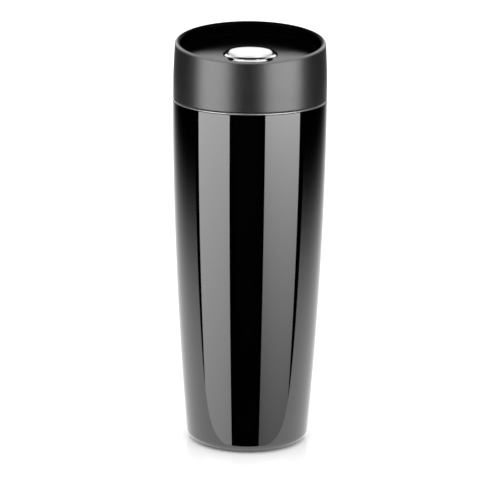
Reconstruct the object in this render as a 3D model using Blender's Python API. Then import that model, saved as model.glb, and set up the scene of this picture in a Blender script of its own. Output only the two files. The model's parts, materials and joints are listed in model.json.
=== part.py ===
"""Insulated travel tumbler: a vacuum-walled steel body and a push-button drinking lid.

The frame is in metres with +Z up. The origin is the centre of the base, on the surface the
tumbler stands on. The drinker's side is -Y, where the slanted rim of the lid is lowest.
Lengths in this file are millimetres, and add_solid turns them into metres.
"""

import math

import bmesh
import bpy

MM = 0.001

# Driving dimensions of the steel body
BODY_R = 40.0  # outside radius at the seam under the lid
SEAM_Z = 182.9  # top of the steel mouth, where the lid begins
TAPER = 8.12  # how much smaller the radius would be at the floor
TAPER_POWER = 1.9  # shapes the taper into a soft barrel curve
WALL = 0.6  # steel sheet
VACUUM_GAP = 3.2
BODY_BOTTOM = 0.6  # the steel hangs this far above the floor, on its pad
BASE_EDGE_R = 4.25  # round of the outer bottom edge
BASE_OPENING_R = 24.0
VESSEL_BOTTOM = 8.5  # underside of the inner vessel
VESSEL_CORNER_R = 8.0
STEEL_TOP = SEAM_Z - 0.7  # top of both steel walls, under the mouth ring
FIT_GAP = 0.3  # clearance between touching pieces

# Driving dimensions of the lid
RIM_Z = 212.95  # top of the lip, on the axis
SLOPE = 0.1005  # rise of the slanted rim per unit of +Y, about 5.7 degrees
LID_BOTTOM = 183.4
LID_R = 39.75
LIP_R = 37.67  # middle of the rounded lip
LIP_ROUND = 1.28
SLEEVE_WALL = 1.7
FLOOR_Z = 206.0  # floor of the drinking dish, on the axis
DISH_R = 36.95
DISH_BORE = 36.4
OUTLETS = 7
OUTLET_STEP = 21.0  # degrees from one outlet to the next, round the drinker's side

# Screw thread between the lid and the neck: three starts, right-handed
THREAD_LEAD = 12.0
THREAD_STARTS = 3
THREAD_SWEEP = 160.0
NECK_R = BODY_R - 2 * WALL - VACUUM_GAP
NECK_RIDGE_R = 33.9
PLUG_R = 33.3
PLUG_RIDGE_R = 35.1
NECK_THREAD_Z = 172.5
PLUG_THREAD_Z = NECK_THREAD_Z - THREAD_LEAD / THREAD_STARTS / 2
RIDGE_ROOT_W = 2.0
RIDGE_TIP_W = 1.0

# Push button and drinking valve
BUTTON_R = 11.3
COLLAR_R = 13.8  # the chromed collar round the button
COLLAR_TOP = 206.6  # level, so the slanted dish floor rises past it at the back
COLLAR_STEP = 205.5  # below this height the collar flares out
COLLAR_FOOT_R = 14.35
COLLAR_BEVEL = 0.7
HUB_LOW = 199.0
BUTTON_TRAVEL = 5.0
CAM_TURN = 60.0  # degrees that the cam ring turns in one press
CAM_LUGS = 3
HOUSING_R = 14.0
HOUSING_BORE_R = 11.8
STEM_R = 2.5
VALVE_R = 27.8

LARGE = 36  # segments round the body and the lid
MEDIUM = 24
SMALL = 20


def body_radius(z):
    """Outside radius of the steel body at height z."""
    drop = max(SEAM_Z - z, 0.0) / SEAM_Z
    return BODY_R - TAPER * drop**TAPER_POWER


def arc(centre_r, centre_z, radius, start, end, steps):
    """Points of an arc in the (radius, height) plane, angles in degrees from outwards."""
    angles = [math.radians(start + (end - start) * i / steps) for i in range(steps + 1)]
    return [(centre_r + radius * math.cos(a), centre_z + radius * math.sin(a)) for a in angles]


def wall_points(z_low, z_high, inset, steps):
    """Points up the body's side curve, moved inwards by inset."""
    heights = [z_low + (z_high - z_low) * i / steps for i in range(steps + 1)]
    return [(body_radius(z) - inset, z) for z in heights]


def turned(outline, segments):
    """A solid of revolution about Z from a closed outline of (radius, height) points."""
    shape = bmesh.new()
    ring = [shape.verts.new((r, 0.0, z)) for r, z in outline]
    pairs = list(zip(ring, ring[1:]))
    if outline[0][0] > 0.0:
        pairs.append((ring[-1], ring[0]))
    edges = [shape.edges.new(pair) for pair in pairs]
    bmesh.ops.spin(
        shape,
        geom=ring + edges,
        cent=(0.0, 0.0, 0.0),
        axis=(0.0, 0.0, 1.0),
        angle=math.tau,
        steps=segments,
        use_merge=True,
    )
    bmesh.ops.remove_doubles(shape, verts=shape.verts[:], dist=1e-4)
    bmesh.ops.recalc_face_normals(shape, faces=shape.faces[:])
    return shape


def slant(shape, z_level, z_slanted):
    """Shears the solid so that heights from z_slanted up follow the slanted rim."""
    for vert in shape.verts:
        share = min(max((vert.co.z - z_level) / (z_slanted - z_level), 0.0), 1.0)
        vert.co.z += SLOPE * share * vert.co.y
    return shape


def helix_bar(shape, radii, widths, start, sweep, z_start, lead, steps, run_out=0):
    """Adds a bar swept along a helix: a trapezoid from radii[0] to radii[1], its height going
    from widths[0] to widths[1]. Over run_out steps at each end the bar sinks into its root."""
    root_r, tip_r = radii
    root_w, tip_w = widths
    sections = []
    for i in range(steps + 1):
        turn = sweep * i / steps
        angle = math.radians(start + turn)
        z = z_start + lead * turn / 360.0
        rise = min(i, steps - i) / run_out if run_out else 1.0
        far_r = root_r + (tip_r - root_r) * (0.06 + 0.94 * min(rise, 1.0))
        corners = (
            (root_r, z - root_w / 2),
            (root_r, z + root_w / 2),
            (far_r, z + tip_w / 2),
            (far_r, z - tip_w / 2),
        )
        section = [shape.verts.new((r * math.cos(angle), r * math.sin(angle), h)) for r, h in corners]
        sections.append(section)
    for near, far in zip(sections, sections[1:]):
        for a in range(4):
            b = (a + 1) % 4
            shape.faces.new((near[a], near[b], far[b], far[a]))
    shape.faces.new(sections[0][::-1])
    shape.faces.new(sections[-1])
    bmesh.ops.recalc_face_normals(shape, faces=shape.faces[:])


def add_solid(name, shape, material, frame):
    """Makes an object from a shape in millimetres, and parents it to the frame's empty."""
    bmesh.ops.scale(shape, vec=(MM, MM, MM), verts=shape.verts[:])
    mesh = bpy.data.meshes.new(name)
    shape.to_mesh(mesh)
    shape.free()
    mesh.shade_smooth()
    mesh.set_sharp_from_angle(angle=math.radians(35.0))
    mesh.materials.append(material)
    return place(bpy.data.objects.new(name, mesh), frame)


def place(obj, frame):
    bpy.context.scene.collection.objects.link(obj)
    obj.parent = frame
    obj.matrix_parent_inverse = frame.matrix_world.inverted()
    return obj


def combine(target, shape, operation):
    """Joins a helper solid to the target, or cuts it away, with a Boolean modifier."""
    name = f"{target.name}_{operation.lower()}_{len(target.modifiers)}"
    helper = add_solid(name, shape, target.data.materials[0], target.parent)
    helper.hide_render = True
    helper.display_type = "WIRE"
    modifier = target.modifiers.new(name, "BOOLEAN")
    modifier.operation = operation
    modifier.object = helper


def make_material(name, colour, roughness, metallic=0.0):
    material = bpy.data.materials.new(name)
    material.use_nodes = True
    shader = material.node_tree.nodes["Principled BSDF"]
    shader.inputs["Base Color"].default_value = (*colour, 1.0)
    shader.inputs["Roughness"].default_value = roughness
    shader.inputs["Metallic"].default_value = metallic
    return material


def make_frame(name, z):
    """An empty on the tumbler's axis, for the pieces that move together."""
    frame = bpy.data.objects.new(name, None)
    frame.location = (0.0, 0.0, z * MM)
    bpy.context.scene.collection.objects.link(frame)
    bpy.context.view_layer.update()
    return frame


# ---- Steel body -------------------------------------------------------------------------


def outer_shell(material, frame):
    """The lacquered outer wall, turned in under the base to a round opening."""
    edge_z = BODY_BOTTOM + BASE_EDGE_R
    edge_r = body_radius(edge_z) - BASE_EDGE_R
    outline = [(BASE_OPENING_R, BODY_BOTTOM)]
    outline += arc(edge_r, edge_z, BASE_EDGE_R, -90, 0, 4)
    outline += wall_points(edge_z, STEEL_TOP, 0.0, 6)[1:]
    outline += wall_points(STEEL_TOP, edge_z, WALL, 4)
    outline += arc(edge_r, edge_z, BASE_EDGE_R - WALL, 0, -90, 2)[1:]
    outline.append((BASE_OPENING_R, BODY_BOTTOM + WALL))
    add_solid("outer_shell", turned(outline, LARGE), material, frame)


def inner_vessel(material, frame):
    """The cup that holds the drink, with a three-start thread pressed into its neck."""
    inside = WALL + VACUUM_GAP
    corner_z = VESSEL_BOTTOM + WALL + VESSEL_CORNER_R
    corner_r = body_radius(corner_z) - inside - WALL - VESSEL_CORNER_R
    outline = [(0.0, VESSEL_BOTTOM)]
    outline += arc(corner_r, corner_z, VESSEL_CORNER_R + WALL, -90, 0, 3)
    outline += wall_points(corner_z, STEEL_TOP, inside, 4)[1:]
    outline += wall_points(STEEL_TOP, corner_z, inside + WALL, 4)
    outline += arc(corner_r, corner_z, VESSEL_CORNER_R, 0, -90, 3)[1:]
    outline.append((0.0, VESSEL_BOTTOM + WALL))
    vessel = add_solid("inner_vessel", turned(outline, LARGE), material, frame)
    ridges = thread_ridges((NECK_R + WALL / 2, NECK_RIDGE_R), NECK_THREAD_Z)
    combine(vessel, ridges, "UNION")


def thread_ridges(radii, z_start):
    ridges = bmesh.new()
    for start in range(THREAD_STARTS):
        helix_bar(
            ridges,
            radii,
            (RIDGE_ROOT_W, RIDGE_TIP_W),
            start * 360.0 / THREAD_STARTS,
            THREAD_SWEEP,
            z_start,
            THREAD_LEAD,
            steps=16,
            run_out=2,
        )
    return ridges


def mouth_ring(material, frame):
    """The bare steel ring that joins the two walls, seen as a thin line at the seam."""
    low = STEEL_TOP + FIT_GAP
    edge = BODY_R - 0.15
    outline = [
        (NECK_R, low),
        (edge, low),
        (edge, SEAM_Z - 0.2),
        (edge - 0.25, SEAM_Z),
        (NECK_R, SEAM_Z),
    ]
    add_solid("mouth_ring", turned(outline, LARGE), material, frame)


def base_plate(material, frame):
    """The disc that closes the vacuum space, dished in at its exhaust hole."""
    low = BODY_BOTTOM + WALL + FIT_GAP
    hole_r, dish_r, rise = 1.6, 4.0, 1.2
    plate_r = BASE_OPENING_R + 2.6
    outline = [
        (hole_r, low + rise),
        (dish_r, low + rise),
        (dish_r + 1.0, low),
        (plate_r, low),
        (plate_r, low + WALL),
        (dish_r + 1.4, low + WALL),
        (dish_r + 0.4, low + rise + WALL),
        (hole_r, low + rise + WALL),
    ]
    add_solid("base_plate", turned(outline, MEDIUM), material, frame)


def vacuum_seal_bead(material, frame):
    """The brazed bead that plugs the exhaust hole."""
    outline = [(0.0, 1.55), (1.8, 1.6), (2.8, 2.0), (2.8, 2.4), (1.25, 2.4), (1.25, 3.8), (0.0, 3.8)]
    add_solid("vacuum_seal_bead", turned(outline, 16), material, frame)


def getter(pill_material, clip_material, frame):
    """The gas-absorbing pill and the clip that holds it under the inner vessel."""
    pill = [(0.0, 4.6), (3.8, 4.6), (4.2, 5.0), (4.2, 7.6), (0.0, 7.6)]
    clip = [(4.5, 5.2), (5.4, 5.2), (5.4, 7.6), (7.5, 7.6), (7.5, 8.2), (4.5, 8.2)]
    for name, outline, material in (
        ("getter_capsule", pill, pill_material),
        ("getter_clip", clip, clip_material),
    ):
        shape = turned(outline, 20)
        bmesh.ops.translate(shape, vec=(12.0, 0.0, 0.0), verts=shape.verts[:])
        add_solid(name, shape, material, frame)


def base_pad(material, frame):
    """The silicone pad that the tumbler stands on."""
    pad_r = BASE_OPENING_R - 0.4
    top = BODY_BOTTOM + WALL
    outline = [
        (0.0, 0.5),
        (6.0, 0.5),
        (6.5, 0.0),
        (pad_r - 0.6, 0.0),
        (pad_r, 0.5),
        (pad_r, top),
        (0.0, top),
    ]
    add_solid("base_pad", turned(outline, MEDIUM), material, frame)


# ---- Lid --------------------------------------------------------------------------------


def sleeve_radius(z):
    """Outside radius of the lid: straight low down, then drawn in towards the lip."""
    lip_edge = LIP_R + LIP_ROUND
    share = max(z - 192.0, 0.0) / (RIM_Z - LIP_ROUND - 192.0)
    return LID_R - (LID_R - lip_edge) * share**1.6


def lid_sleeve(material, frame):
    """The matt outer ring of the lid, ending in the slanted drinking lip."""
    lip_z = RIM_Z - LIP_ROUND
    ledge_low, ledge_top, ledge_r = 188.3, 189.8, 35.0
    heights = (192.0, 198.0, 205.0)
    outline = [(LID_R - 0.3, LID_BOTTOM), (LID_R, LID_BOTTOM + 0.3)]
    outline += [(sleeve_radius(z), z) for z in heights]
    outline += arc(LIP_R, lip_z, LIP_ROUND, 0, 180, 4)
    outline.append((sleeve_radius(lip_z) - SLEEVE_WALL, lip_z))
    outline += [(sleeve_radius(z) - SLEEVE_WALL, z) for z in reversed(heights[:2])]
    outline += [
        (LID_R - SLEEVE_WALL, ledge_top),
        (ledge_r, ledge_top),
        (ledge_r, ledge_low),
        (LID_R - SLEEVE_WALL, ledge_low),
        (LID_R - SLEEVE_WALL, LID_BOTTOM),
    ]
    shape = slant(turned(outline, LARGE), ledge_top, lip_z)
    add_solid("lid_sleeve", shape, material, frame)


def lid_dish(material, frame):
    """The slanted drinking dish, with its row of outlet slots, its hub and its skirt."""
    hub_start_r, hub_r = 13.0, 16.2
    skirt_low, skirt_bore = 190.1, 35.2
    under = FLOOR_Z - 1.5
    top = RIM_Z - LIP_ROUND - FIT_GAP
    outline = [
        (hub_start_r, HUB_LOW),
        (hub_r, HUB_LOW),
        (hub_r, under),
        (skirt_bore - 1.2, under),
        (skirt_bore, under - 1.2),
        (skirt_bore, skirt_low),
        (DISH_R, skirt_low),
        (DISH_R, top),
        (DISH_BORE, top),
    ]
    outline += arc(DISH_BORE - 1.0, FLOOR_Z + 1.0, 1.0, 0, -90, 2)
    outline.append((hub_start_r, FLOOR_Z))
    dish = add_solid("lid_dish", slant(turned(outline, LARGE), HUB_LOW, under), material, frame)
    combine(dish, collar_hole(), "DIFFERENCE")
    slots = bmesh.new()
    for i in range(OUTLETS):
        cut_outlet(slots, -90.0 + OUTLET_STEP * (i - (OUTLETS - 1) / 2))
    combine(dish, slots, "DIFFERENCE")


def collar_hole():
    """The upright hole for the collar: wide round its foot, and narrow above the flare."""
    wide, narrow = COLLAR_FOOT_R + FIT_GAP, COLLAR_R + FIT_GAP
    outline = [
        (0.0, HUB_LOW - 1.0),
        (wide, HUB_LOW - 1.0),
        (wide, COLLAR_STEP - 0.2),
        (narrow, COLLAR_STEP),
        (narrow, FLOOR_Z + 3.0),
        (0.0, FLOOR_Z + 3.0),
    ]
    return turned(outline, LARGE)


def cut_outlet(shape, middle):
    """One curved slot through the dish floor, where the drink comes out."""
    half_span, inner_r, outer_r, height, steps = 7.5, 28.8, 31.6, 16.0, 2
    helix_bar(
        shape,
        (inner_r, outer_r),
        (height, height),
        middle - half_span,
        2 * half_span,
        FLOOR_Z,
        0.0,
        steps,
    )


def plug_body(material, frame):
    """The hollow plug with the lid's thread. Its lower face is the seat of the valve."""
    low, flange_low, flange_top = 166.0, LID_BOTTOM + 1.3, 188.0
    seat_r, bore, flange_r = 24.0, 31.5, 37.6
    outline = [
        (seat_r, low),
        (PLUG_R - 1.0, low),
        (PLUG_R, low + 1.0),
        (PLUG_R, flange_low),
        (flange_r, flange_low),
        (flange_r, flange_top),
        (bore, flange_top),
        (bore, low + 2.6),
        (bore - 0.8, low + 1.8),
        (seat_r, low + 1.8),
    ]
    plug = add_solid("plug_body", turned(outline, LARGE), material, frame)
    combine(plug, thread_ridges((PLUG_R - 0.3, PLUG_RIDGE_R), PLUG_THREAD_Z), "UNION")


def ring(name, inner_r, outer_r, low, high, round_off, material, frame, segments=MEDIUM):
    """A plain ring with its outer edges taken off, for seals."""
    outline = [
        (inner_r, low),
        (outer_r - round_off, low),
        (outer_r, low + round_off),
        (outer_r, high - round_off),
        (outer_r - round_off, high),
        (inner_r, high),
    ]
    return add_solid(name, turned(outline, segments), material, frame)


def button_bezel(material, frame):
    """The chromed collar that guides the button, bevelled on top and flared at its foot."""
    bore, wiper_bore, wiper_top = BUTTON_R + FIT_GAP, 12.9, 201.4
    outline = [
        (wiper_bore, HUB_LOW),
        (COLLAR_FOOT_R, HUB_LOW),
        (COLLAR_FOOT_R, COLLAR_STEP - 0.65),
        (COLLAR_R, COLLAR_STEP),
        (COLLAR_R, COLLAR_TOP - COLLAR_BEVEL),
        (COLLAR_R - COLLAR_BEVEL, COLLAR_TOP),
        (bore, COLLAR_TOP),
        (bore, wiper_top),
        (wiper_bore, wiper_top),
    ]
    add_solid("button_bezel", turned(outline, LARGE), material, frame)


def mechanism_housing(material, frame):
    """The sealed cup under the hub: it guides the plunger and has a helical groove for each
    lug of the cam ring, and a pocket below for the stem seal."""
    top, floor_low, floor_top = 198.7, 178.0, 179.5
    pocket_r, boss_r, boss_low, hole_r = 5.8, 7.5, 174.6, STEM_R + 0.5
    outline = [
        (hole_r, floor_low),
        (pocket_r, floor_low),
        (pocket_r, boss_low),
        (boss_r, boss_low),
        (boss_r, floor_low),
        (HOUSING_R - 1.0, floor_low),
        (HOUSING_R, floor_low + 1.0),
        (HOUSING_R, top),
        (HOUSING_BORE_R, top),
        (HOUSING_BORE_R, floor_top),
        (hole_r, floor_top),
    ]
    housing = add_solid("mechanism_housing", turned(outline, MEDIUM), material, frame)
    grooves = bmesh.new()
    add_cam_bars(grooves, (HOUSING_BORE_R - 0.6, 13.2), 3.1, 10.5, CAM_TURN)
    combine(housing, grooves, "DIFFERENCE")


def add_cam_bars(shape, radii, height, half_span, travel):
    """A bar for each lug of the cam ring, along the helix that the lug follows."""
    lug_z = 190.4
    fall = -BUTTON_TRAVEL / CAM_TURN
    sweep = travel + 2 * half_span
    for i in range(CAM_LUGS):
        helix_bar(
            shape,
            radii,
            (height, height),
            360.0 * i / CAM_LUGS - half_span,
            sweep,
            lug_z - fall * half_span,
            fall * 360.0,
            steps=max(2, round(sweep / 10.0)),
        )


def return_spring(material, frame):
    """The compression spring round the stem, from the housing's floor to the plunger."""
    coils, per_coil, mean_r, wire_r = 5, 12, 4.9, 0.6
    low, high = 179.8 + wire_r, 192.7 - wire_r
    count = coils * per_coil + 1
    curve = bpy.data.curves.new("return_spring", "CURVE")
    curve.dimensions = "3D"
    curve.bevel_depth = wire_r * MM
    curve.bevel_resolution = 1
    curve.use_fill_caps = True
    curve.materials.append(material)
    line = curve.splines.new("POLY")
    line.points.add(count - 1)
    for i, point in enumerate(line.points):
        angle = math.tau * i / per_coil
        z = low + (high - low) * i / (count - 1)
        point.co = (mean_r * math.cos(angle) * MM, mean_r * math.sin(angle) * MM, z * MM, 1.0)
    place(bpy.data.objects.new("return_spring", curve), frame)


# ---- Button, valve and cam --------------------------------------------------------------


def button_cap(material, frame):
    """The cap that is pressed: nearly flat on top, with a rounded shoulder."""
    skirt_low, apex_z, wall, round_r = 196.8, 208.1, 1.0, 1.25
    shoulder_z = COLLAR_TOP + 0.1
    outline = [(0.0, apex_z), (5.0, apex_z - 0.05)]
    outline += arc(BUTTON_R - round_r, shoulder_z, round_r, 90, 0, 4)
    outline += [
        (BUTTON_R, skirt_low),
        (BUTTON_R - wall, skirt_low),
        (BUTTON_R - wall, shoulder_z - 0.4),
        (BUTTON_R - wall - 0.6, shoulder_z + 0.2),
        (0.0, apex_z - 1.2),
    ]
    add_solid("button_cap", turned(outline, LARGE), material, frame)


def plunger(material, frame):
    """The core under the cap: it carries the cam ring and is bored for the spring."""
    screw_r, spring_bore, neck_r, lip_r, flange_r, top_r = 1.6, 6.4, 7.9, 8.7, 11.0, 10.0
    outline = [
        (screw_r, 193.0),
        (spring_bore, 193.0),
        (spring_bore, 186.2),
        (lip_r - 0.4, 186.2),
        (lip_r, 186.8),
        (lip_r, 187.4),
        (neck_r, 187.4),
        (neck_r, 193.3),
        (flange_r, 193.3),
        (flange_r, 196.5),
        (top_r, 196.5),
        (top_r, 205.4),
        (top_r - 0.8, 206.0),
        (4.2, 206.0),
        (4.2, 196.0),
        (screw_r, 196.0),
    ]
    add_solid("plunger", turned(outline, SMALL), material, frame)


def stem_screw(material, frame):
    """The pan-head screw that holds the stem to the plunger, with a cross recess."""
    outline = [
        (0.0, 185.0),
        (0.7, 185.0),
        (1.25, 186.2),
        (1.25, 196.3),
        (3.4, 196.3),
        (3.4, 197.6),
        (2.6, 198.3),
        (0.0, 198.3),
    ]
    screw = add_solid("stem_screw", turned(outline, 16), material, frame)
    for sides in ((3.6, 0.7), (0.7, 3.6)):
        slot = bmesh.new()
        block = bmesh.ops.create_cube(slot, size=1.0)["verts"]
        bmesh.ops.scale(slot, vec=(*sides, 2.0), verts=block)
        bmesh.ops.translate(slot, vec=(0.0, 0.0, 198.3), verts=block)
        combine(screw, slot, "DIFFERENCE")


def valve_stem(material, frame):
    """The rod from the plunger down to the valve, with a collar above the valve disc."""
    outline = [
        (0.0, 158.8),
        (STEM_R - 0.4, 158.8),
        (STEM_R, 159.2),
        (STEM_R, 170.4),
        (3.4, 170.4),
        (3.4, 171.4),
        (STEM_R, 171.4),
        (STEM_R, 192.7),
        (1.6, 192.7),
        (1.6, 184.0),
        (0.0, 184.0),
    ]
    add_solid("valve_stem", turned(outline, 20), material, frame)


def valve_disc(material, frame):
    """The disc that shuts the plug from below, with a hub and a collar for its gasket."""
    low, top, bore = 161.8, 163.6, STEM_R + 0.3
    outline = [
        (bore, low),
        (VALVE_R - 1.0, low),
        (VALVE_R, low + 0.8),
        (VALVE_R, top),
        (22.7, top),
        (22.7, 165.4),
        (21.2, 165.4),
        (21.2, top),
        (5.4, top),
        (5.4, 170.1),
        (bore, 170.1),
    ]
    add_solid("valve_disc", turned(outline, MEDIUM), material, frame)


def valve_knob(material, frame):
    """The lobed nut under the disc, undone by hand to clean the valve."""
    bore, knob_r, lobes, lobe_depth = STEM_R + 0.3, 6.0, 6, 0.1
    outline = [
        (0.0, 156.5),
        (knob_r - 0.8, 156.5),
        (knob_r, 157.3),
        (knob_r, 160.7),
        (knob_r - 0.8, 161.5),
        (bore, 161.5),
        (bore, 158.5),
        (0.0, 158.5),
    ]
    shape = turned(outline, MEDIUM)
    for vert in shape.verts:
        if math.hypot(vert.co.x, vert.co.y) > knob_r - 1.0:
            swell = 1.0 + lobe_depth * math.cos(lobes * math.atan2(vert.co.y, vert.co.x))
            vert.co.x *= swell
            vert.co.y *= swell
    add_solid("valve_knob", shape, material, frame)


def cam_ring(material, frame):
    """The ring that turns as the button goes down, led by its lugs in the housing's grooves."""
    bore, outer_r, low, high = 8.3, 11.2, 187.7, 193.0
    outline = [(bore, low), (outer_r, low), (outer_r, high), (bore, high)]
    cam = add_solid("cam_ring", turned(outline, MEDIUM), material, frame)
    lugs = bmesh.new()
    add_cam_bars(lugs, (outer_r - 0.6, 12.8), 2.2, 8.0, 0.0)
    combine(cam, lugs, "UNION")


def clear_scene():
    for obj in list(bpy.data.objects):
        bpy.data.objects.remove(obj)


def main():
    clear_scene()
    lacquer = make_material("black_lacquer", (0.004, 0.004, 0.005), 0.05)
    steel = make_material("brushed_steel", (0.62, 0.62, 0.63), 0.3, 1.0)
    chrome = make_material("chrome", (0.85, 0.85, 0.87), 0.05, 1.0)
    satin_white = make_material("satin_white", (0.8, 0.8, 0.8), 0.35)
    matt_grey = make_material("matt_grey_plastic", (0.045, 0.045, 0.048), 0.5)
    gloss_black = make_material("gloss_black_plastic", (0.006, 0.006, 0.007), 0.18)
    black = make_material("black_plastic", (0.02, 0.02, 0.022), 0.4)
    white_plastic = make_material("natural_plastic", (0.7, 0.7, 0.68), 0.4)
    silicone = make_material("grey_silicone", (0.25, 0.25, 0.26), 0.6)
    brass = make_material("braze", (0.7, 0.5, 0.25), 0.35, 1.0)

    mug = make_frame("mug_frame", 0.0)
    outer_shell(lacquer, mug)
    inner_vessel(steel, mug)
    mouth_ring(steel, mug)
    base_plate(steel, mug)
    vacuum_seal_bead(brass, mug)
    getter(brass, steel, mug)
    base_pad(silicone, mug)

    lid = make_frame("lid_frame", SEAM_Z)
    ring("lid_gasket", PLUG_R + 0.4, 37.2, LID_BOTTOM - 0.2, LID_BOTTOM + 1.0, 0.3, silicone, lid)
    lid_sleeve(matt_grey, lid)
    lid_dish(gloss_black, lid)
    plug_body(black, lid)
    ring("dish_seal", 33.0, 34.7, 188.3, 191.3, 0.4, silicone, lid)
    button_bezel(chrome, lid)
    ring("button_wiper", BUTTON_R + 0.3, 12.6, 199.3, 201.1, 0.2, silicone, lid)
    mechanism_housing(black, lid)
    ring("stem_seal", STEM_R + 0.3, 5.5, 175.0, 177.7, 0.3, silicone, lid, 20)
    return_spring(steel, lid)

    button = make_frame("button_frame", FLOOR_Z)
    button_cap(satin_white, button)
    plunger(black, button)
    stem_screw(steel, button)
    valve_stem(steel, button)
    valve_disc(black, button)
    ring("valve_gasket", 23.0, 27.5, 163.9, 165.7, 0.4, silicone, button)
    valve_knob(black, button)

    cam = make_frame("cam_frame", FLOOR_Z)
    cam_ring(white_plastic, cam)


main()
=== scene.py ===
"""Looks for the insulated tumbler: fine meshes, materials, studio and camera round the CAD frame.

Outlines are (radius, height) in millimetres, in the CAD's frame: +Z up, the drinker's side at -Y.
The studio and the camera are placed in metres.
"""

import json
import math

import bmesh
import bpy
from mathutils import Matrix

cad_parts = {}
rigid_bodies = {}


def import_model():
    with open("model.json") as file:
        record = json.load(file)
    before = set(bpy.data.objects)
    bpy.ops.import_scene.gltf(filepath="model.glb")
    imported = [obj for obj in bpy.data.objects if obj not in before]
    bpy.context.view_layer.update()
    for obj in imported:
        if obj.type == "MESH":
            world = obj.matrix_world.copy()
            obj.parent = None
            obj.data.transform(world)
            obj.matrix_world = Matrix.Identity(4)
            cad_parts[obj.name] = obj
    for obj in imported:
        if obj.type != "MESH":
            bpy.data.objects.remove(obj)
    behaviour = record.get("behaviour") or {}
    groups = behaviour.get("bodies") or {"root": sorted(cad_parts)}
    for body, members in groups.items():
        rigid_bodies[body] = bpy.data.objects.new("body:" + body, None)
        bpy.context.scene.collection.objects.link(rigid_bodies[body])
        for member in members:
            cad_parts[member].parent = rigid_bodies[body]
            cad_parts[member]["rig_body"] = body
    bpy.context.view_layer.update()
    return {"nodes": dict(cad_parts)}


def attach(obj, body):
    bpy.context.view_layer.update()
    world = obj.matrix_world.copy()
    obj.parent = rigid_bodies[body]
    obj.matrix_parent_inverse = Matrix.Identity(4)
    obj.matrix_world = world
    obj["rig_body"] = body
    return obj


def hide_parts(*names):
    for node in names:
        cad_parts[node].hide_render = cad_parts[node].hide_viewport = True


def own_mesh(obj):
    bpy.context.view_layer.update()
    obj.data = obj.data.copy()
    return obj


MM = 0.001

BODY_R = 40.0
SEAM_Z = 182.9
TAPER = 8.12
TAPER_POWER = 1.9
STEEL = 0.6  # wall thickness
VACUUM_GAP = 3.2
STEEL_TOP = 182.2
SHELL_BOTTOM = 0.6
NECK_R = 35.6

RIM_Z = 212.95
SLOPE = 0.1005  # rise of the slanted rim per unit of +Y
SLEEVE_R = 39.75
LIP_R = 37.67
LIP_ROUND = 1.28
LIP_Z = RIM_Z - LIP_ROUND
LID_BOTTOM = 183.4
LEAN_FROM = 192.0  # the sleeve leans inwards above this height
LEAN_POWER = 1.6
FLOOR_Z = 206.0
DISH_R = 36.95
DISH_BORE = 36.4
HUB_LOW = 199.0
BUTTON_R = 11.3
COLLAR_R = 13.8
COLLAR_TOP = 206.6
COLLAR_STEP = 205.5
COLLAR_FOOT_R = 14.35
BEVEL_HEIGHT = 0.7
BEVEL_WIDTH = 1.2
OUTLETS = 7
OUTLET_STEP = 21.0

THREAD_LEAD = 12.0
THREAD_STARTS = 3
THREAD_SWEEP = 160.0
PLUG_R = 33.3

FINE, MEDIUM, SLIM = 256, 128, 48  # segments round wide, middling and slim pieces
SHARP_ANGLE = 50.0  # edges that turn by more than this, in degrees, stay sharp


# ---- Mesh building ----------------------------------------------------------------------


def body_radius(z):
    """Outer radius of the steel body: it narrows downwards, faster and faster."""
    drop = max(SEAM_Z - z, 0.0) / SEAM_Z
    return BODY_R - TAPER * drop**TAPER_POWER


def sleeve_radius(z):
    """Outer radius of the lid's sleeve, before it is sheared to the slanted rim."""
    share = max(z - LEAN_FROM, 0.0) / (LIP_Z - LEAN_FROM)
    return SLEEVE_R - (SLEEVE_R - LIP_R - LIP_ROUND) * share**LEAN_POWER


def wall(radius_at, z_from, z_to, steps, inset=0.0):
    """Outline points up or down a wall, moved inwards by inset."""
    heights = [z_from + (z_to - z_from) * i / steps for i in range(steps + 1)]
    return [(radius_at(z) - inset, z) for z in heights]


def arc(centre_r, centre_z, radius, start, end, steps):
    """Outline points round a centre, from one angle to another in degrees."""
    angles = [math.radians(start + (end - start) * i / steps) for i in range(steps + 1)]
    return [(centre_r + radius * math.cos(a), centre_z + radius * math.sin(a)) for a in angles]


def soften(outline, round_off, steps=5):
    """Replaces each sharp corner of a closed outline with a small arc of radius round_off.
    Points on the axis, and corners that turn by less than 25 degrees, stay as they are."""
    made = []
    count = len(outline)
    for i, (r, z) in enumerate(outline):
        before = outline[i - 1]
        after = outline[(i + 1) % count]
        in_r, in_z = r - before[0], z - before[1]
        out_r, out_z = after[0] - r, after[1] - z
        in_length, out_length = math.hypot(in_r, in_z), math.hypot(out_r, out_z)
        turn = math.atan2(in_r * out_z - in_z * out_r, in_r * out_r + in_z * out_z)
        if r < 1e-6 or abs(turn) < math.radians(25.0):
            made.append((r, z))
            continue
        reach = min(round_off * math.tan(abs(turn) / 2), 0.45 * in_length, 0.45 * out_length)
        start = (r - in_r / in_length * reach, z - in_z / in_length * reach)
        end = (r + out_r / out_length * reach, z + out_z / out_length * reach)
        for step in range(steps + 1):
            t = step / steps
            a, b, c = (1 - t) ** 2, 2 * t * (1 - t), t**2
            made.append((a * start[0] + b * r + c * end[0], a * start[1] + b * z + c * end[1]))
    return made


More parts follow.
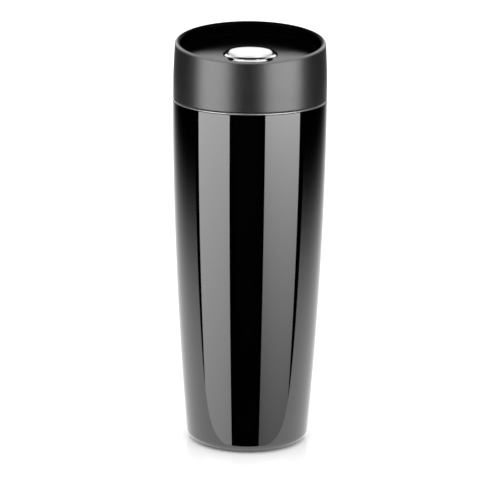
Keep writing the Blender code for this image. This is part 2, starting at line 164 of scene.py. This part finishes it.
def lathe(outline, segments, shape_radius=None, slant=None):
    """A solid of revolution in metres from a closed outline. shape_radius(r, z, angle) may
    change a point's radius, and slant = (z_level, z_slanted) shears it to the slanted rim."""
    mesh = bmesh.new()
    rings = []
    for r, z in outline:
        if r < 1e-6:
            rings.append([mesh.verts.new((0.0, 0.0, z))])
            continue
        ring = []
        for i in range(segments):
            angle = math.tau * i / segments
            radius = shape_radius(r, z, angle) if shape_radius else r
            ring.append(mesh.verts.new((radius * math.cos(angle), radius * math.sin(angle), z)))
        rings.append(ring)
    pairs = list(zip(rings, rings[1:]))
    if len(rings[0]) > 1 or len(rings[-1]) > 1:
        pairs.append((rings[-1], rings[0]))
    for low, high in pairs:
        for i in range(segments):
            j = (i + 1) % segments
            corners = [low[i % len(low)], low[j % len(low)]]
            corners += [high[j % len(high)], high[i % len(high)]]
            corners = list(dict.fromkeys(corners))
            if len(corners) > 2:
                mesh.faces.new(corners)
    bmesh.ops.recalc_face_normals(mesh, faces=mesh.faces[:])
    for vert in mesh.verts:
        if slant:
            share = min(max((vert.co.z - slant[0]) / (slant[1] - slant[0]), 0.0), 1.0)
            vert.co.z += SLOPE * share * vert.co.y
        vert.co *= MM
    return mesh


def thread_height(z, angle, z_start):
    """Height of the thread's ridge at a point, from 0 at its root to 1 at its tip."""
    root_half, tip_half, run_out = 1.0, 0.5, 18.0
    height = 0.0
    for start in range(THREAD_STARTS):
        turn = (math.degrees(angle) - start * 360.0 / THREAD_STARTS) % 360.0
        if turn > THREAD_SWEEP:
            continue
        middle = z_start + THREAD_LEAD * turn / 360.0
        side = (root_half - abs(z - middle)) / (root_half - tip_half)
        end = min(turn, THREAD_SWEEP - turn) / run_out
        height = max(height, min(max(side, 0.0), 1.0) * min(end, 1.0))
    return height


def add_object(name, data):
    obj = bpy.data.objects.new(name, data)
    bpy.context.scene.collection.objects.link(obj)
    return obj


def piece(name, mesh, node, material):
    """Makes an object that stands for a CAD node, and rides on that node's body."""
    data = bpy.data.meshes.new(name)
    mesh.to_mesh(data)
    mesh.free()
    data.shade_smooth()
    data.set_sharp_from_angle(angle=math.radians(SHARP_ANGLE))
    data.materials.append(material)
    obj = add_object(name, data)
    normals = obj.modifiers.new("even_normals", "WEIGHTED_NORMAL")
    normals.keep_sharp = True
    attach(obj, frame["nodes"][node]["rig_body"])
    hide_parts(node)
    return obj


# ---- Materials --------------------------------------------------------------------------


def maths(tree, operation, first, second=None):
    """A Math node. Each value is a number, or the output of another node."""
    made = tree.nodes.new("ShaderNodeMath")
    made.operation = operation
    for socket, value in zip(made.inputs, (first, second)):
        if isinstance(value, (int, float)):
            socket.default_value = value
        elif value is not None:
            tree.links.new(value, socket)
    return made.outputs["Value"]


def distance_from_axis(tree, x, y):
    squares = [maths(tree, "MULTIPLY", v, v) for v in (x, y)]
    return maths(tree, "SQRT", maths(tree, "ADD", *squares))


def limited(tree, source, low, high):
    return maths(tree, "MINIMUM", maths(tree, "MAXIMUM", source, low), high)


def fall_off(tree, source, reach, power):
    """1 where the source is 0, falling to 1/e at reach on both sides of it."""
    away = maths(tree, "DIVIDE", maths(tree, "ABSOLUTE", source), reach)
    powered = maths(tree, "POWER", away, power)
    return maths(tree, "EXPONENT", maths(tree, "MULTIPLY", powered, -1.0))


class Surface:
    """A Principled material, with short calls for the procedural detail on it."""

    def __init__(self, name, colour, roughness, metallic=0.0, **sockets):
        self.material = bpy.data.materials.new(name)
        self.material.use_nodes = True
        self.tree = self.material.node_tree
        self.shader = self.tree.nodes["Principled BSDF"]
        self.shader.inputs["Base Color"].default_value = (*colour, 1.0)
        self.shader.inputs["Roughness"].default_value = roughness
        self.shader.inputs["Metallic"].default_value = metallic
        for socket, value in sockets.items():
            self.shader.inputs[socket.replace("_", " ")].default_value = value
        self.colour = colour

    def node(self, kind, **inputs):
        made = self.tree.nodes.new(kind)
        for socket, value in inputs.items():
            made.inputs[socket.replace("_", " ")].default_value = value
        return made

    def link(self, source, target):
        self.tree.links.new(source, target)

    def maths(self, operation, first, second=None):
        return maths(self.tree, operation, first, second)

    def noise(self, size_mm, stretch=(1.0, 1.0, 1.0), detail=3.0):
        """Noise whose features are about size_mm across, times stretch along each axis."""
        place = self.node("ShaderNodeTexCoord")
        mapping = self.node("ShaderNodeMapping")
        mapping.inputs["Scale"].default_value = [1.0 / (size_mm * MM * s) for s in stretch]
        made = self.node("ShaderNodeTexNoise", Scale=1.0, Detail=detail, Roughness=0.55)
        self.link(place.outputs["Object"], mapping.inputs["Vector"])
        self.link(mapping.outputs["Vector"], made.inputs["Vector"])
        return made.outputs["Fac"]

    def spread(self, source, low, high, start=0.3, end=0.7):
        """The source's range from start to end, spread from low to high."""
        made = self.node("ShaderNodeMapRange")
        limits = {"From Min": start, "From Max": end, "To Min": low, "To Max": high}
        for socket, value in limits.items():
            made.inputs[socket].default_value = value
        self.link(source, made.inputs["Value"])
        return made.outputs["Result"]

    def ramp(self, source, start, end):
        """0 up to start and 1 from end on, with a soft step. The source is a length in metres,
        and start and end are in mm."""
        made = self.node("ShaderNodeMapRange")
        made.interpolation_type = "SMOOTHSTEP"
        made.inputs["From Min"].default_value = start * MM
        made.inputs["From Max"].default_value = end * MM
        self.link(source, made.inputs["Value"])
        return made.outputs["Result"]

    def band(self, source, start, end, edge):
        """1 where the source is from start to end, in mm, with soft edges inside that band."""
        rise = self.ramp(source, start, start + edge)
        fall = self.ramp(source, end - edge, end)
        return self.maths("MULTIPLY", rise, self.maths("SUBTRACT", 1.0, fall))

    def place(self):
        """X, Y and Z in the piece's own frame, which is the tumbler's frame at rest."""
        coordinates = self.node("ShaderNodeTexCoord")
        split = self.node("ShaderNodeSeparateXYZ")
        self.link(coordinates.outputs["Object"], split.inputs["Vector"])
        return [split.outputs[axis] for axis in "XYZ"]

    def radius(self):
        x, y, _ = self.place()
        return distance_from_axis(self.tree, x, y)

    def height_over_dish(self):
        """Height over the plane of the dish's sloping floor."""
        _, y, z = self.place()
        floor_z = self.maths("ADD", self.maths("MULTIPLY", y, SLOPE), FLOOR_Z * MM)
        return self.maths("SUBTRACT", z, floor_z)

    def colour_mix(self, one, other, source):
        """One colour where the source is 0 and the other where it is 1. Each is (r, g, b), or
        the result of another mix."""
        mix = self.node("ShaderNodeMix")
        mix.data_type = "RGBA"
        for socket, colour in (("A", one), ("B", other)):
            if isinstance(colour, tuple):
                mix.inputs[socket].default_value = (*colour, 1.0)
            else:
                self.link(colour, mix.inputs[socket])
        self.link(source, mix.inputs["Factor"])
        return mix.outputs["Result"]

    def vary_roughness(self, source, low, high):
        self.link(self.spread(source, low, high), self.shader.inputs["Roughness"])

    def vary_colour(self, source, other):
        """Moves the base colour towards another colour with the source."""
        mixed = self.colour_mix(self.colour, other, self.spread(source, 0.0, 1.0))
        self.link(mixed, self.shader.inputs["Base Color"])

    def bump(self, source, height_mm):
        """Adds relief of height_mm."""
        made = self.node("ShaderNodeBump", Strength=1.0, Distance=height_mm * MM)
        self.link(source, made.inputs["Height"])
        self.link(made.outputs["Normal"], self.shader.inputs["Normal"])


def lacquer_material():
    """High-gloss black lacquer: nearly a mirror, with faint orange peel and hairline wear."""
    made = Surface("black_lacquer", (0.0003, 0.0003, 0.00035), 0.03, IOR=1.8)
    made.vary_roughness(made.noise(14.0), 0.018, 0.045)
    made.bump(made.noise(3.5, detail=1.0), 0.0006)
    return made.material


def sleeve_material():
    """Satin anthracite with a fine moulded grain. Along the lip's outer half it is paler, a painted
    highlight, and inside the lip it is black with its reflection turned down, a painted shade."""
    # Painted light: the darkest colour makes the inside of the lip black, a painted shade, and the
    # palest colour makes a painted highlight along the lip's outer half.
    bare, coat, painted_highlight = (0.0006, 0.0006, 0.0006), (0.006, 0.006, 0.0062), (0.11, 0.11, 0.111)
    made = Surface("satin_anthracite", coat, 0.34, IOR=1.75)
    radius = made.radius()
    outside = made.ramp(radius, LIP_R - 0.2, LIP_R + 0.1)
    lip = made.band(radius, LIP_R, LIP_R + LIP_ROUND, 0.35)
    colour = made.colour_mix(made.colour_mix(bare, coat, outside), painted_highlight, lip)
    made.link(colour, made.shader.inputs["Base Color"])
    # Painted shade: the reflection is turned down inside the lip, so that it stays black.
    made.link(made.spread(outside, 0.01, 0.5, 0.0, 1.0), made.shader.inputs["Specular IOR Level"])
    made.vary_roughness(made.noise(2.0), 0.31, 0.37)
    made.bump(made.noise(0.35, detail=2.0), 0.008)
    return made.material


def dish_material():
    """Gloss black, with painted shade: the reflection is turned down towards the back and up the
    wall.
    """
    made = Surface("gloss_black_plastic", (0.0005, 0.0005, 0.00055), 0.16, IOR=1.5)
    _, y, _ = made.place()
    # Painted shade: the reflection fades out towards the back and up the wall, which makes these
    # parts darker.
    painted_shade_back = made.ramp(y, -10.0, 16.0)
    polish = made.maths("POWER", made.maths("SUBTRACT", 1.0, painted_shade_back), 3.0)
    up_the_wall = made.ramp(made.height_over_dish(), 0.02, 0.25)
    gloss = made.maths("MULTIPLY", polish, made.maths("SUBTRACT", 1.0, up_the_wall))
    made.link(made.spread(gloss, 0.004, 0.5, 0.0, 1.0), made.shader.inputs["Specular IOR Level"])
    made.vary_roughness(made.noise(5.0), 0.15, 0.19)
    made.bump(made.noise(0.6), 0.002)
    return made.material


def cap_material():
    """Satin silver-white, with a fine pearl grain."""
    made = Surface("satin_white", (0.82, 0.82, 0.82), 0.34, metallic=0.25)
    made.vary_roughness(made.noise(2.0), 0.3, 0.4)
    made.bump(made.noise(0.25, detail=2.0), 0.003)
    return made.material


def chrome_material():
    """Bright chrome, with a faint unevenness in its polish."""
    made = Surface("chrome", (0.9, 0.9, 0.91), 0.1, metallic=1.0)
    made.vary_roughness(made.noise(4.0), 0.08, 0.12)
    made.bump(made.noise(2.5, detail=1.0), 0.0004)
    return made.material


def steel_material(name, colour, low, high, brushed=True):
    """Stainless steel, brushed round the axis by streaks that are thin in height."""
    made = Surface(name, colour, low, metallic=1.0)
    streaks = made.noise(0.12, stretch=(60.0, 60.0, 1.0) if brushed else (1.0, 1.0, 1.0))
    made.vary_roughness(streaks, low, high)
    made.bump(streaks, 0.002)
    return made.material


def moulded_material(name, colour, roughness):
    """Moulded plastic or silicone, with cloudy colour and a fine grain."""
    made = Surface(name, colour, roughness)
    made.vary_colour(made.noise(8.0), tuple(c * 1.25 for c in colour))
    made.vary_roughness(made.noise(3.0), roughness - 0.05, roughness + 0.07)
    made.bump(made.noise(0.5), 0.006)
    return made.material


# ---- Pieces -----------------------------------------------------------------------------


def make_shell():
    """The lacquered steel wall, turned in under the base round the opening for the foot pad."""
    edge_r, opening_r = 4.25, 24.0
    edge_z = SHELL_BOTTOM + edge_r
    corner_r = body_radius(edge_z) - edge_r
    outline = [(opening_r, SHELL_BOTTOM)]
    outline += arc(corner_r, edge_z, edge_r, -90, 0, 16)
    outline += wall(body_radius, edge_z, STEEL_TOP, 90)[1:]
    outline += wall(body_radius, STEEL_TOP, edge_z, 30, STEEL)
    outline += arc(corner_r, edge_z, edge_r - STEEL, 0, -90, 10)[1:]
    outline.append((opening_r, SHELL_BOTTOM + STEEL))
    piece("shell", lathe(soften(outline, 0.15), FINE), "outer_shell", lacquer)


def make_steel_ring():
    """The bare steel that shows as a thin line under the lid."""
    low, ring_r, edge_w, edge_h = STEEL_TOP + 0.3, BODY_R - 0.15, 0.25, 0.2
    outline = [
        (NECK_R, low),
        (ring_r, low),
        (ring_r, SEAM_Z - edge_h),
        (ring_r - edge_w, SEAM_Z),
        (NECK_R, SEAM_Z),
    ]
    piece("steel_ring", lathe(soften(outline, 0.12), FINE), "mouth_ring", bright_steel)


def make_foot_pad():
    """The silicone foot: a flat ring to stand on, round a shallow hollow."""
    pad_r, pad_top, hollow_r, hollow_z = 23.6, SHELL_BOTTOM + STEEL, 6.0, 0.5
    outline = [(0.0, hollow_z), (hollow_r, hollow_z), (hollow_r + 0.5, 0.0)]
    outline += [(pad_r - 0.6, 0.0), (pad_r, 0.5), (pad_r, pad_top), (0.0, pad_top)]
    piece("foot_pad", lathe(soften(outline, 0.2), MEDIUM), "base_pad", pad_rubber)


def make_vessel():
    """The cup inside the vacuum wall, with the thread's ridges pressed into its neck."""
    inset = STEEL + VACUUM_GAP
    floor_z, corner = 8.5, 8.0
    neck_low, thread_start, ridge_r = 169.0, 172.5, 33.9
    corner_z = floor_z + STEEL + corner
    corner_r = body_radius(corner_z) - inset - STEEL - corner
    outline = [(0.0, floor_z)]
    outline += arc(corner_r, corner_z, corner + STEEL, -90, 0, 10)
    outline += wall(body_radius, corner_z, STEEL_TOP, 20, inset)[1:]
    outline += wall(body_radius, STEEL_TOP, neck_low, 70, inset + STEEL)
    outline += wall(body_radius, neck_low, corner_z, 30, inset + STEEL)[1:]
    outline += arc(corner_r, corner_z, corner, 0, -90, 10)[1:]
    outline.append((0.0, floor_z + STEEL))

    def neck_thread(r, z, angle):
        if z < neck_low or r > body_radius(z) - inset - 0.01:
            return r
        return r - (r - ridge_r) * thread_height(z, angle, thread_start)

    mesh = lathe(outline, FINE, neck_thread)
    piece("vessel", mesh, "inner_vessel", satin_steel)


def make_lid_wall():
    """The sleeve, its slanted drinking lip, and the ledge inside it that holds the dish."""
    ledge_low, ledge_top, ledge_r, thickness = 188.3, 189.8, 35.0, 1.7
    wall_low, inner_top, inner_low = 187.0, 205.0, 190.5
    outline = [(SLEEVE_R - 0.3, LID_BOTTOM), (SLEEVE_R, LID_BOTTOM + 0.3)]
    outline += wall(sleeve_radius, wall_low, LIP_Z, 40)
    outline += arc(LIP_R, LIP_Z, LIP_ROUND, 0, 180, 24)[1:]
    outline.append((sleeve_radius(LIP_Z) - thickness, LIP_Z))
    outline += wall(sleeve_radius, inner_top, inner_low, 6, thickness)
    outline += [
        (SLEEVE_R - thickness, ledge_top),
        (ledge_r, ledge_top),
        (ledge_r, ledge_low),
        (SLEEVE_R - thickness, ledge_low),
        (SLEEVE_R - thickness, LID_BOTTOM),
    ]
    mesh = lathe(soften(outline, 0.15), FINE, slant=(ledge_top, LIP_Z))
    piece("lid_wall", mesh, "lid_sleeve", anthracite)


def make_dish():
    """The slanted dish inside the lip, with the hub round the collar and the skirt below."""
    hub_start_r, hub_r = 13.0, 16.2
    skirt_low, skirt_bore, under = 190.1, 35.2, FLOOR_Z - 1.5
    top, corner = LIP_Z - 0.3, 1.0
    outline = [
        (hub_start_r, HUB_LOW),
        (hub_r, HUB_LOW),
        (hub_r, under),
        (skirt_bore - 1.2, under),
        (skirt_bore, under - 1.2),
        (skirt_bore, skirt_low),
        (DISH_R, skirt_low),
        (DISH_R, top),
        (DISH_BORE, top),
    ]
    outline += arc(DISH_BORE - corner, FLOOR_Z + corner, corner, 0, -90, 14)
    outline += [(DISH_BORE - corner - 0.5, FLOOR_Z), (hub_start_r, FLOOR_Z)]
    mesh = lathe(soften(outline, 0.25), FINE, slant=(HUB_LOW, under))
    dish = piece("dish", mesh, "lid_dish", gloss_black)
    cut(dish, [collar_hole(), outlet_slots()])


def collar_hole():
    """The upright hole for the collar: wide round its foot, and narrow above the flare."""
    wide, narrow = COLLAR_FOOT_R + 0.3, COLLAR_R + 0.3
    low, high = HUB_LOW - 1.0, FLOOR_Z + 3.0
    outline = [
        (0.0, low),
        (wide, low),
        (wide, COLLAR_STEP - 0.2),
        (narrow, COLLAR_STEP),
        (narrow, high),
        (0.0, high),
    ]
    return lathe(outline, FINE)


def outlet_slots():
    """The row of round-ended slots on the drinker's side, through the dish's floor."""
    slots = bmesh.new()
    middle_r, half_width, half_span, end_steps = 30.2, 1.4, 7.5, 8
    cut_from, cut_to = FLOOR_Z - 9.0, FLOOR_Z + 7.0
    end_span = math.degrees(half_width / middle_r)
    for i in range(OUTLETS):
        centre = -90.0 + OUTLET_STEP * (i - (OUTLETS - 1) / 2)
        track = []
        for side in (1, -1):
            for step in range(end_steps + 1):
                swing = math.radians(180.0 * step / end_steps)
                across = side * half_width * math.cos(swing)
                along = side * (half_span - end_span) + side * end_span * math.sin(swing)
                track.append((middle_r + across, math.radians(centre + along)))
        low, high = (
            [slots.verts.new((r * math.cos(a), r * math.sin(a), z)) for r, a in track]
            for z in (cut_from, cut_to)
        )
        for j in range(len(track)):
            k = (j + 1) % len(track)
            slots.faces.new((low[j], low[k], high[k], high[j]))
        slots.faces.new(low[::-1])
        slots.faces.new(high)
    bmesh.ops.recalc_face_normals(slots, faces=slots.faces[:])
    bmesh.ops.scale(slots, vec=(MM, MM, MM), verts=slots.verts[:])
    return slots


def cut(obj, cutter_meshes):
    """Cuts each closed mesh away from the object, and keeps the result as its mesh. The faces
    that look up, such as the dish's floor, are flat, and so they are shaded as flat faces."""
    looks_up = 0.99  # the least upward part of such a face's normal
    cutters = []
    for mesh in cutter_meshes:
        data = bpy.data.meshes.new("cutter")
        mesh.to_mesh(data)
        mesh.free()
        cutter = add_object("cutter", data)
        modifier = obj.modifiers.new("cut", "BOOLEAN")
        modifier.operation = "DIFFERENCE"
        modifier.object = cutter
        obj.modifiers.move(len(obj.modifiers) - 1, len(cutters))
        cutters.append((cutter, modifier))
    bpy.context.view_layer.update()
    depsgraph = bpy.context.evaluated_depsgraph_get()
    made = bpy.data.meshes.new_from_object(obj.evaluated_get(depsgraph))
    made.set_sharp_from_angle(angle=math.radians(SHARP_ANGLE))
    for face in made.polygons:
        face.use_smooth = face.normal.z < looks_up
    obj.data = made
    for cutter, modifier in cutters:
        obj.modifiers.remove(modifier)
        bpy.data.objects.remove(cutter)


def make_plug():
    """The hollow plug under the dish, threaded outside, with the valve's seat at its foot."""
    low, flange_low, flange_top = 166.0, LID_BOTTOM + 1.3, 188.0
    seat_r, bore, flange_r, floor_t = 24.0, 31.5, 37.6, 1.8
    thread_start, ridge, steps = 170.5, 1.8, 76
    wall_low, wall_high = low + 1.2, flange_low - 0.2
    outline = [(seat_r, low), (PLUG_R - 1.0, low), (PLUG_R, low + 1.0)]
    outline += wall(lambda z: PLUG_R, wall_low, wall_high, steps)
    outline += [
        (PLUG_R, flange_low),
        (flange_r, flange_low),
        (flange_r, flange_top),
        (bore, flange_top),
        (bore, low + floor_t + 0.8),
        (bore - 0.8, low + floor_t),
        (seat_r, low + floor_t),
    ]

    def plug_thread(r, z, angle):
        if abs(r - PLUG_R) > 0.01:
            return r
        return r + ridge * thread_height(z, angle, thread_start)

    mesh = lathe(soften(outline, 0.25, 3), FINE, plug_thread)
    piece("plug", mesh, "plug_body", moulded_black)


def make_push_button():
    """The satin cap: level, slightly domed, with a rounded shoulder."""
    apex_z, edge_r, wall_t, low, steps = 208.1, 1.25, 1.0, 196.8, 12
    shoulder_z, flat_r, bore = COLLAR_TOP + 0.1, BUTTON_R - edge_r, BUTTON_R - wall_t
    crown = apex_z - shoulder_z - edge_r
    outline = [(flat_r * i / steps, apex_z - crown * (i / steps) ** 2) for i in range(steps)]
    outline += arc(flat_r, shoulder_z, edge_r, 90, 0, 16)
    outline += [
        (BUTTON_R, low),
        (bore, low),
        (bore, shoulder_z - 0.4),
        (bore - 0.6, shoulder_z + 0.2),
        (0.0, apex_z - 1.2),
    ]
    piece("push_button", lathe(outline, MEDIUM), "button_cap", satin_white)


def make_collar():
    """The chromed collar round the button, bevelled on top and flared at its foot."""
    bore, wiper_bore, wiper_top, flare_h = BUTTON_R + 0.3, 12.9, 201.4, 0.65
    outline = [
        (wiper_bore, HUB_LOW),
        (COLLAR_FOOT_R, HUB_LOW),
        (COLLAR_FOOT_R, COLLAR_STEP - flare_h),
        (COLLAR_R, COLLAR_STEP),
        (COLLAR_R, COLLAR_TOP - BEVEL_HEIGHT),
        (COLLAR_R - BEVEL_WIDTH, COLLAR_TOP),
        (bore, COLLAR_TOP),
        (bore, wiper_top),
        (wiper_bore, wiper_top),
    ]
    piece("collar", lathe(soften(outline, 0.15), FINE), "button_bezel", chrome)


def make_seals():
    """The plain silicone rings: node, inner and outer radius, bottom, top, edge round."""
    rings = (
        ("lid_gasket", PLUG_R + 0.4, 37.2, LID_BOTTOM - 0.2, LID_BOTTOM + 1.0, 0.3),
        ("dish_seal", 33.0, 34.7, 188.3, 191.3, 0.4),
        ("button_wiper", BUTTON_R + 0.3, 12.6, 199.3, 201.1, 0.2),
        ("stem_seal", 2.8, 5.5, 175.0, 177.7, 0.3),
        ("valve_gasket", 23.0, 27.5, 163.9, 165.7, 0.4),
    )
    for node, inner, outer, low, high, edge in rings:
        outline = [(inner, low), (outer, low), (outer, high), (inner, high)]
        mesh = lathe(soften(outline, edge), MEDIUM)
        piece(f"{node}_ring", mesh, node, silicone)


def make_valve_plate():
    """The disc that shuts the plug from below, with a rib inside its seal and a tall hub."""
    bore, plate_r, low, high = 2.8, 27.8, 161.8, 163.6
    rib_inner, rib_outer, rib_top = 21.2, 22.7, 165.4
    hub_r, hub_top = 5.4, 170.1
    outline = [
        (bore, low),
        (plate_r - 1.0, low),
        (plate_r, low + 0.8),
        (plate_r, high),
        (rib_outer, high),
        (rib_outer, rib_top),
        (rib_inner, rib_top),
        (rib_inner, high),
        (hub_r, high),
        (hub_r, hub_top),
        (bore, hub_top),
    ]
    piece("valve_plate", lathe(soften(outline, 0.3), MEDIUM), "valve_disc", moulded_black)


def make_valve_rod():
    """The steel rod through the valve, with a collar on it and a screw hole in its top."""
    rod_r, low, high, tip = 2.5, 158.8, 192.7, 0.4
    collar_r, collar_low, collar_high = 3.4, 170.4, 171.4
    hole_r, hole_low = 1.6, 184.0
    outline = [
        (0.0, low),
        (rod_r - tip, low),
        (rod_r, low + tip),
        (rod_r, collar_low),
        (collar_r, collar_low),
        (collar_r, collar_high),
        (rod_r, collar_high),
        (rod_r, high),
        (hole_r, high),
        (hole_r, hole_low),
        (0.0, hole_low),
    ]
    piece("valve_rod", lathe(soften(outline, 0.12), SLIM), "valve_stem", bright_steel)


def make_valve_nut():
    """The lobed nut under the disc, undone by hand to clean the valve."""
    nut_r, low, high, chamfer = 6.0, 156.5, 161.5, 0.8
    hole_r, hole_top, lobes, lobe_depth = 2.8, 158.5, 6, 0.1
    outline = [
        (0.0, low),
        (nut_r - chamfer, low),
        (nut_r, low + chamfer),
        (nut_r, high - chamfer),
        (nut_r - chamfer, high),
        (hole_r, high),
        (hole_r, hole_top),
        (0.0, hole_top),
    ]

    def lobed(r, z, angle):
        return r * (1.0 + lobe_depth * math.cos(lobes * angle)) if r > nut_r - 1.0 else r

    mesh = lathe(soften(outline, 0.4), MEDIUM, lobed)
    piece("valve_nut", mesh, "valve_knob", moulded_black)


# ---- Studio -----------------------------------------------------------------------------


def glow(name, peak, share=None):
    """An emission of strength peak. Where share is given, it is a function of the node tree and
    of X, Y and Z in metres, and the strength at each place is that share of the peak."""
    material = bpy.data.materials.new(name)
    material.use_nodes = True
    tree = material.node_tree
    tree.nodes.clear()
    output = tree.nodes.new("ShaderNodeOutputMaterial")
    emission = tree.nodes.new("ShaderNodeEmission")
    emission.inputs["Strength"].default_value = peak
    tree.links.new(emission.outputs["Emission"], output.inputs["Surface"])
    if share:
        place = tree.nodes.new("ShaderNodeNewGeometry")
        split = tree.nodes.new("ShaderNodeSeparateXYZ")
        tree.links.new(place.outputs["Position"], split.inputs["Vector"])
        strength = maths(tree, "MULTIPLY", share(tree, *split.outputs), peak)
        tree.links.new(strength, emission.inputs["Strength"])
    return material


def only_in_reflections(obj):
    obj.visible_camera = False
    obj.visible_diffuse = False
    obj.visible_shadow = False
    obj.visible_transmission = False


def flat_sheet(name, corners, material):
    data = bpy.data.meshes.new(name)
    data.from_pydata(corners, [], [tuple(range(len(corners)))])
    data.materials.append(material)
    return add_object(name, data)


def level_corners(half_width, front, back, height):
    sides = ((-half_width, front), (half_width, front), (half_width, back), (-half_width, back))
    return [(x, y, height) for x, y in sides]


def make_softbox(name, near, far, peak, fade):
    """A tall upright softbox from near to far (x, y), dimming downwards over fade metres."""
    low, high, full_from = -0.75, 0.62, 0.02

    def share(tree, _x, _y, z):
        held = maths(tree, "MINIMUM", z, full_from)
        return maths(tree, "EXPONENT", maths(tree, "DIVIDE", held, fade))

    corners = [(*near, low), (*far, low), (*far, high), (*near, high)]
    only_in_reflections(flat_sheet(name, corners, glow(name, peak, share)))


def make_overhead():
    """A softbox over the tumbler and towards the camera, for the edge of the lip and the collar."""
    half_width, front, back, height, strength = 1.6, -1.0, 0.05, 1.6, 1.1
    corners = level_corners(half_width, front, back, height)
    only_in_reflections(flat_sheet("softbox_over", corners, glow("softbox_over", strength)))


def make_table_glow():
    """The white table as the lacquer sees it. It ends just in front of the tumbler, dims to both
    sides, and is dimmest, a painted contact shadow, in the narrow gap under the base's rounded
    edge."""
    front, back, half_width, height = -0.038, 1.6, 1.1, -0.0006
    peak, reach = 1.5, 0.40
    # Painted contact shadow: the glow is turned down close to the base's edge.
    contact_r, contact_fade, contact_share = 0.0268, 0.005, 0.3

    def share(tree, x, y, _z):
        clear = maths(tree, "SUBTRACT", distance_from_axis(tree, x, y), contact_r)
        opened = maths(tree, "MULTIPLY", clear, 1.0 / contact_fade)
        lit = limited(tree, opened, contact_share, 1.0)
        return maths(tree, "MULTIPLY", fall_off(tree, x, reach, 3.0), lit)

    corners = level_corners(half_width, front, back, height)
    only_in_reflections(flat_sheet("table_glow", corners, glow("table_glow", peak, share)))


def make_sky():
    """A dome that glows at the back, from the horizon most of the way up, and fades to both
    sides. It is dark overhead and in front."""
    radius, peak, reach, lit_from, horizon = 3.0, 1.25, 2.3, 1.2, -0.01
    dome = bmesh.new()
    bmesh.ops.create_uvsphere(dome, u_segments=64, v_segments=32, radius=radius)
    below = [v for v in dome.verts if v.co.z < horizon]
    bmesh.ops.delete(dome, geom=below, context="VERTS")
    data = bpy.data.meshes.new("sky")
    dome.to_mesh(data)
    dome.free()

    def share(tree, x, y, _z):
        behind = limited(tree, maths(tree, "SUBTRACT", y, lit_from), 0.0, 1.0)
        return maths(tree, "MULTIPLY", behind, fall_off(tree, x, reach, 4.0))

    data.materials.append(glow("sky", peak, share))
    only_in_reflections(add_object("sky", data))


def floor_material():
    """White, with the same faint mirror image from every side."""
    blur, mirror_share = 0.12, 0.18
    made = Surface("white_floor", (0.93, 0.93, 0.93), blur, Specular_IOR_Level=0.0)
    mirror = made.node("ShaderNodeBsdfAnisotropic", Roughness=blur)
    mix = made.node("ShaderNodeMixShader", Fac=mirror_share)
    made.link(made.shader.outputs["BSDF"], mix.inputs[1])
    made.link(mirror.outputs["BSDF"], mix.inputs[2])
    made.link(mix.outputs["Shader"], made.tree.nodes["Material Output"].inputs["Surface"])
    return made.material


def make_floor():
    """The floor that the camera sees. The pieces reflect the table glow instead of it."""
    half, height = 8.0, -0.0002
    obj = flat_sheet("floor", level_corners(half, -half, half, height), floor_material())
    obj.visible_glossy = False


def make_world():
    """Even white light on everything, that no reflection shows."""
    world = bpy.data.worlds.new("studio")
    bpy.context.scene.world = world
    world.use_nodes = True
    background = world.node_tree.nodes["Background"]
    background.inputs["Color"].default_value = (1.0, 1.0, 1.0, 1.0)
    background.inputs["Strength"].default_value = 1.7
    world.cycles_visibility.glossy = False


def make_camera():
    """A long lens in front of the tumbler, looking slightly down on it."""
    position, look_down, roll = (0.0007, -1.412, 0.472), 14.69, 0.52
    data = bpy.data.cameras.new("camera")
    data.sensor_width = 36.0
    data.lens = 200.4
    data.clip_end = 50.0
    camera = add_object("camera", data)
    pitched = Matrix.Rotation(math.radians(90.0 - look_down), 4, "X")
    rolled = Matrix.Rotation(math.radians(roll), 4, "Z")
    camera.matrix_world = Matrix.Translation(position) @ pitched @ rolled
    bpy.context.scene.camera = camera


# ---- Scene ------------------------------------------------------------------------------

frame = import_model()

lacquer = lacquer_material()
anthracite = sleeve_material()
gloss_black = dish_material()
chrome = chrome_material()
satin_white = cap_material()
bright_steel = steel_material("bright_steel", (0.7, 0.7, 0.71), 0.36, 0.46)
satin_steel = steel_material("satin_steel", (0.6, 0.6, 0.61), 0.25, 0.4)
moulded_black = moulded_material("moulded_black", (0.016, 0.016, 0.017), 0.38)
pad_rubber = moulded_material("pad_rubber", (0.02, 0.02, 0.021), 0.7)
silicone = moulded_material("grey_silicone", (0.2, 0.2, 0.205), 0.55)
natural = moulded_material("natural_plastic", (0.65, 0.65, 0.62), 0.4)
braze = steel_material("braze", (0.66, 0.47, 0.24), 0.3, 0.45, brushed=False)

make_shell()
make_steel_ring()
make_foot_pad()
make_vessel()
make_lid_wall()
make_dish()
make_plug()
make_push_button()
make_collar()
make_seals()
make_valve_plate()
make_valve_rod()
make_valve_nut()

carried_over = {
    "base_plate": satin_steel,
    "vacuum_seal_bead": braze,
    "getter_capsule": satin_steel,
    "getter_clip": satin_steel,
    "mechanism_housing": moulded_black,
    "return_spring": bright_steel,
    "plunger": moulded_black,
    "stem_screw": bright_steel,
    "cam_ring": natural,
}
for node, material in carried_over.items():
    for slot in frame["nodes"][node].material_slots:
        slot.material = material

spring = frame["nodes"]["return_spring"]
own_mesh(spring)

make_floor()
make_softbox("softbox_left", (-0.449, -0.800), (-0.897, -0.152), 4.3, 0.62)
make_softbox("softbox_right", (0.352, -0.849), (0.892, -0.184), 4.2, 0.26)
make_overhead()
make_table_glow()
make_sky()
make_world()
make_camera()
bpy.context.scene.view_settings.view_transform = "Standard"
